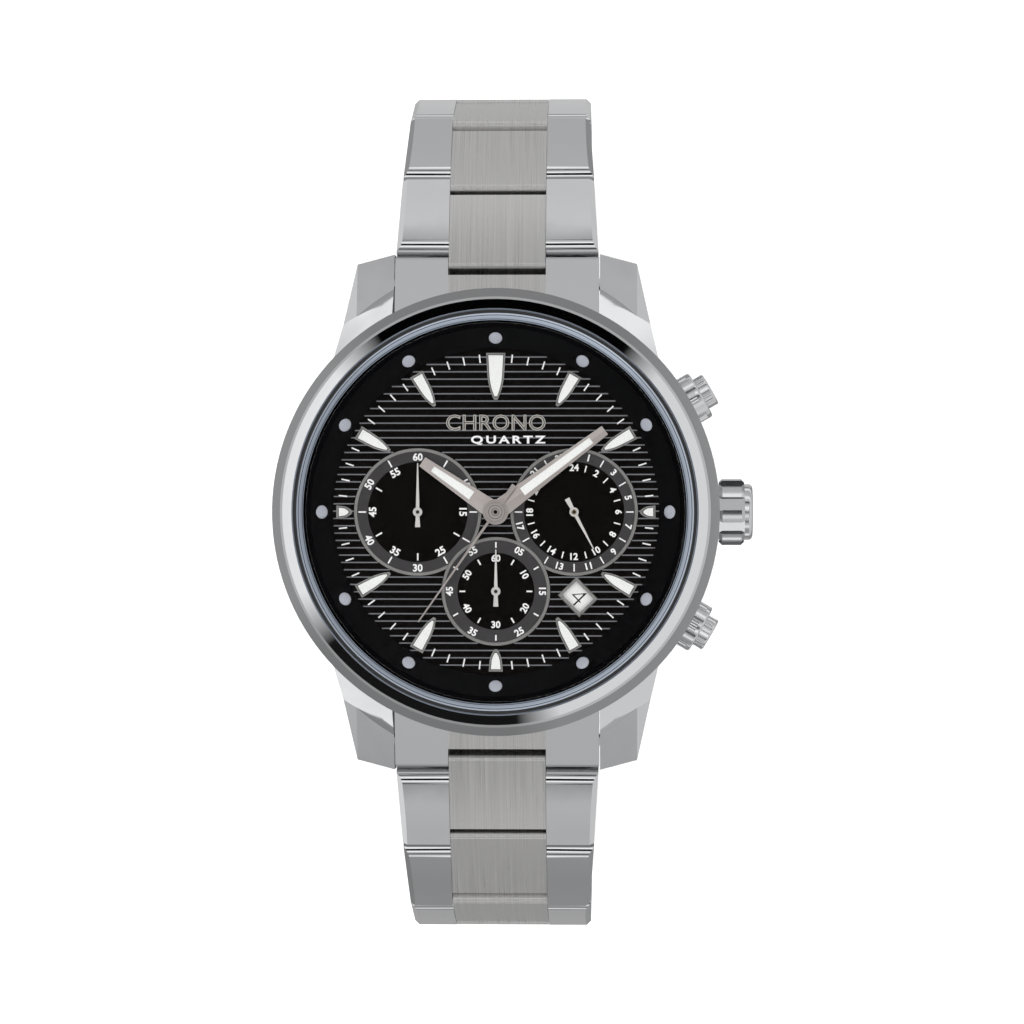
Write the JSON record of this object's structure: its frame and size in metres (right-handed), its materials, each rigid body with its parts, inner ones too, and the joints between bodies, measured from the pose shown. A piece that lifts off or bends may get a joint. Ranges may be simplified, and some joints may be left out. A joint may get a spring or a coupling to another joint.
{
  "type": "chronograph wristwatch",
  "caption": "Round steel chronograph wristwatch with three subdials, angled date window, fluted crown and pushers, and a three-row link bracelet with folding clasp.",
  "frame": {"origin": "centre of the case back's outer face, where the watch rests on the wrist", "axes": "+Z out of the dial towards the viewer, +Y towards 12 o'clock, +X towards 3 o'clock and the crown"},
  "size_m": [0.0462, 0.0844, 0.0462],
  "materials": {
    "polished_steel": "polished stainless steel",
    "brushed_steel": "fine brushed stainless steel",
    "hand_steel": "warm grey satin steel",
    "crystal_glass": "clear mineral glass",
    "gasket_rubber": "matt black",
    "flange_black": "satin black",
    "dial_black": "matt black with fine horizontal lines",
    "movement_plastic": "moulded off-white",
    "movement_brass": "plain brass",
    "board_green": "lacquered circuit board",
    "battery_steel": "plain cell can",
    "coil_copper": "enamelled copper wire",
    "date_white": "matt white"
  },
  "bodies": {
    "case": {"mid_case": "brushed_steel", "bezel": "polished_steel", "crystal": "crystal_glass", "crystal_gasket": "gasket_rubber", "inner_flange": "flange_black", "dial": "dial_black", "hour_markers": "polished_steel", "subdial_rings": "polished_steel", "date_frame": "polished_steel", "case_back": "brushed_steel", "case_back_gasket": "gasket_rubber", "movement_ring": "movement_plastic", "main_plate": "movement_brass", "circuit_board": "board_green", "battery": "battery_steel", "motor_coils": "coil_copper", "crown_tube": "brushed_steel", "pusher_collars": "polished_steel", "end_link_12": "polished_steel", "end_link_6": "polished_steel", "spring_bars": "polished_steel", "pusher_start_spring": "polished_steel", "pusher_reset_spring": "polished_steel"},
    "minutes": {"minute_hand": "hand_steel", "cannon_pinion": "movement_brass"},
    "motion_wheel": {"minute_wheel": "movement_brass"},
    "hours": {"hour_hand": "hand_steel", "hour_wheel": "movement_brass"},
    "day_transfer": {"day_idler": "movement_brass"},
    "day": {"day_hand": "hand_steel", "day_wheel": "movement_brass"},
    "seconds": {"second_hand": "hand_steel", "second_arbor": "polished_steel"},
    "chrono_seconds": {"chrono_second_hand": "hand_steel"},
    "chrono_minutes": {"chrono_minute_hand": "hand_steel"},
    "date": {"date_disc": "date_white"},
    "crown_slider": {"setting_lever": "brushed_steel"},
    "crown": {"crown": "polished_steel", "winding_stem": "polished_steel"},
    "pusher_a": {"pusher_start": "polished_steel"},
    "pusher_b": {"pusher_reset": "polished_steel"},
    "blade_inner": {"clasp_blade_inner": "brushed_steel"},
    "blade_outer": {"clasp_blade_outer": "brushed_steel"},
    "cover": {"clasp_cover": "brushed_steel"},
    "button_a": {"clasp_button_a": "polished_steel"},
    "button_b": {"clasp_button_b": "polished_steel"},
    "row_12_1": {"link_12_1": "polished_steel"},
    "row_12_2": {"link_12_2": "polished_steel"},
    "row_12_3": {"link_12_3": "polished_steel"},
    "row_12_4": {"link_12_4": "polished_steel"},
    "row_12_5": {"link_12_5": "polished_steel"},
    "row_12_6": {"link_12_6": "polished_steel"},
    "row_12_7": {"link_12_7": "polished_steel"},
    "row_6_1": {"link_6_1": "polished_steel"},
    "row_6_2": {"link_6_2": "polished_steel"},
    "row_6_3": {"link_6_3": "polished_steel"},
    "row_6_4": {"link_6_4": "polished_steel"},
    "row_6_5": {"link_6_5": "polished_steel"},
    "row_6_6": {"link_6_6": "polished_steel"},
    "row_6_7": {"link_6_7": "polished_steel"}
  },
  "joints": [
    {"name": "minute_turn", "type": "hinge", "parent": "case", "child": "minutes", "pos_m": [0, 0, 0.005], "axis": [0, 0, -1], "continuous": true},
    {"name": "minute_wheel_turn", "type": "hinge", "parent": "case", "child": "motion_wheel", "pos_m": [-0.00208, -0.00076, 0.005], "axis": [0, 0, -1], "continuous": true},
    {"name": "hour_turn", "type": "hinge", "parent": "case", "child": "hours", "pos_m": [0, 0, 0.005], "axis": [0, 0, -1], "continuous": true},
    {"name": "day_idler_turn", "type": "hinge", "parent": "case", "child": "day_transfer", "pos_m": [0.00288, 0, 0.005], "axis": [0, 0, -1], "continuous": true},
    {"name": "day_turn", "type": "hinge", "parent": "case", "child": "day", "pos_m": [0.00753, 0, 0.005], "axis": [0, 0, -1], "continuous": true},
    {"name": "second_turn", "type": "hinge", "parent": "case", "child": "seconds", "pos_m": [0, 0, 0.005], "axis": [0, 0, -1], "continuous": true},
    {"name": "chrono_second_turn", "type": "hinge", "parent": "case", "child": "chrono_seconds", "pos_m": [0, -0.00764, 0.005], "axis": [0, 0, -1], "continuous": true},
    {"name": "chrono_minute_turn", "type": "hinge", "parent": "case", "child": "chrono_minutes", "pos_m": [-0.00753, 0, 0.005], "axis": [0, 0, -1], "continuous": true},
    {"name": "date_turn", "type": "hinge", "parent": "case", "child": "date", "pos_m": [0, 0, 0.005], "axis": [0, 0, -1], "continuous": true},
    {"name": "crown_pull", "type": "slide", "parent": "case", "child": "crown_slider", "axis": [1, 0, 0], "range_m": [0, 0.0014]},
    {"name": "crown_turn", "type": "hinge", "parent": "crown_slider", "child": "crown", "pos_m": [0.02, 0, 0.0039], "axis": [1, 0, 0], "continuous": true},
    {"name": "start_push", "type": "slide", "parent": "case", "child": "pusher_a", "axis": [-0.866, -0.5, 0], "range_m": [0, 0.0009], "stiffness_N_per_m": 300, "deforming": ["pusher_start_spring"]},
    {"name": "reset_push", "type": "slide", "parent": "case", "child": "pusher_b", "axis": [-0.866, 0.5, 0], "range_m": [0, 0.0009], "stiffness_N_per_m": 300, "deforming": ["pusher_reset_spring"]},
    {"name": "row_12_1_hinge", "type": "hinge", "parent": "case", "child": "row_12_1", "pos_m": [0, 0.02405, 0.0022], "axis": [1, 0, 0], "range_deg": [0, 22]},
    {"name": "row_12_2_hinge", "type": "hinge", "parent": "row_12_1", "child": "row_12_2", "pos_m": [0, 0.03147, -0.0008], "axis": [1, 0, 0], "range_deg": [0, 16]},
    {"name": "row_12_3_hinge", "type": "hinge", "parent": "row_12_2", "child": "row_12_3", "pos_m": [0, 0.03777, -0.00572], "axis": [1, 0, 0], "range_deg": [0, 32]},
    {"name": "row_12_4_hinge", "type": "hinge", "parent": "row_12_3", "child": "row_12_4", "pos_m": [0, 0.04051, -0.01324], "axis": [1, 0, 0], "range_deg": [0, 32]},
    {"name": "row_12_5_hinge", "type": "hinge", "parent": "row_12_4", "child": "row_12_5", "pos_m": [0, 0.03884, -0.02106], "axis": [1, 0, 0], "range_deg": [0, 26]},
    {"name": "row_12_6_hinge", "type": "hinge", "parent": "row_12_5", "child": "row_12_6", "pos_m": [0, 0.03392, -0.02737], "axis": [1, 0, 0], "range_deg": [0, 22]},
    {"name": "row_12_7_hinge", "type": "hinge", "parent": "row_12_6", "child": "row_12_7", "pos_m": [0, 0.02699, -0.03137], "axis": [1, 0, 0], "range_deg": [0, 18]},
    {"name": "row_6_1_hinge", "type": "hinge", "parent": "case", "child": "row_6_1", "pos_m": [0, -0.02405, 0.0022], "axis": [-1, 0, 0], "range_deg": [0, 22]},
    {"name": "row_6_2_hinge", "type": "hinge", "parent": "row_6_1", "child": "row_6_2", "pos_m": [0, -0.03147, -0.0008], "axis": [-1, 0, 0], "range_deg": [0, 16]},
    {"name": "row_6_3_hinge", "type": "hinge", "parent": "row_6_2", "child": "row_6_3", "pos_m": [0, -0.03777, -0.00572], "axis": [-1, 0, 0], "range_deg": [0, 32]},
    {"name": "row_6_4_hinge", "type": "hinge", "parent": "row_6_3", "child": "row_6_4", "pos_m": [0, -0.04051, -0.01324], "axis": [-1, 0, 0], "range_deg": [0, 32]},
    {"name": "row_6_5_hinge", "type": "hinge", "parent": "row_6_4", "child": "row_6_5", "pos_m": [0, -0.03884, -0.02106], "axis": [-1, 0, 0], "range_deg": [0, 26]},
    {"name": "row_6_6_hinge", "type": "hinge", "parent": "row_6_5", "child": "row_6_6", "pos_m": [0, -0.03392, -0.02737], "axis": [-1, 0, 0], "range_deg": [0, 22]},
    {"name": "row_6_7_hinge", "type": "hinge", "parent": "row_6_6", "child": "row_6_7", "pos_m": [0, -0.02699, -0.03137], "axis": [-1, 0, 0], "range_deg": [0, 18]},
    {"name": "clasp_hinge", "type": "hinge", "parent": "row_6_7", "child": "blade_inner", "pos_m": [0, -0.01917, -0.03303], "axis": [-1, 0, 0], "range_deg": [0, 12]},
    {"name": "clasp_open", "type": "hinge", "parent": "blade_inner", "child": "blade_outer", "pos_m": [0, 0.0155, -0.033], "axis": [1, 0, 0], "range_deg": [0, 120]},
    {"name": "cover_swing", "type": "hinge", "parent": "blade_outer", "child": "cover", "pos_m": [0, -0.0165, -0.0337], "axis": [-1, 0, 0], "range_deg": [0, 120]},
    {"name": "clasp_button_a_press", "type": "slide", "parent": "cover", "child": "button_a", "axis": [-1, 0, 0], "range_m": [0, 0.0005], "stiffness_N_per_m": 300},
    {"name": "clasp_button_b_press", "type": "slide", "parent": "cover", "child": "button_b", "axis": [1, 0, 0], "range_m": [0, 0.0005], "stiffness_N_per_m": 300}
  ],
  "couplings": [
    {"joint": "minute_wheel_turn", "follows": "minute_turn", "ratio": -0.33333},
    {"joint": "hour_turn", "follows": "minute_turn", "ratio": 0.083333},
    {"joint": "day_idler_turn", "follows": "minute_turn", "ratio": -0.13333},
    {"joint": "day_turn", "follows": "minute_turn", "ratio": 0.041667},
    {"joint": "chrono_minute_turn", "follows": "chrono_second_turn", "ratio": 0.016667},
    {"joint": "cover_swing", "follows": "clasp_open", "ratio": 1}
  ]
}
